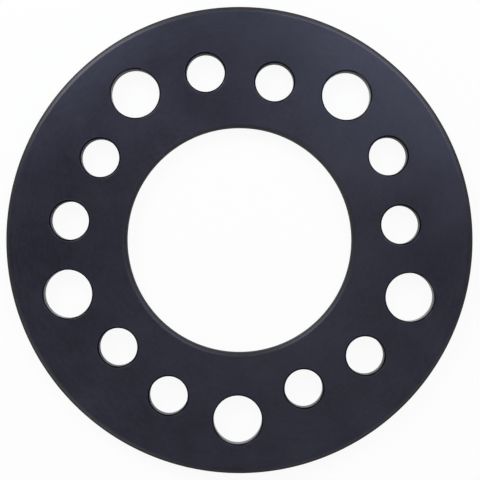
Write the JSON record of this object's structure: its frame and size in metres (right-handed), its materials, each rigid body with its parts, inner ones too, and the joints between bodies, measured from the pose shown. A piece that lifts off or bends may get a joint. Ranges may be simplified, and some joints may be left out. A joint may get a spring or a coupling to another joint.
{
  "type": "wheel spacer",
  "caption": "Flat round wheel spacer plate with a hub bore and stud holes on several bolt circles, in black anodised aluminium.",
  "frame": {"origin": "centre of the hub bore on the hub-side face, which is the bottom face", "axes": "+Z along the wheel axis from the hub face to the wheel face; -Y through a hole of the widest bolt circle"},
  "size_m": [0.165, 0.165, 0.0063],
  "materials": {
    "black_anodised": "satin black anodised over fine turning marks"
  },
  "bodies": {
    "root": {"spacer_plate": "black_anodised"}
  },
  "joints": []
}
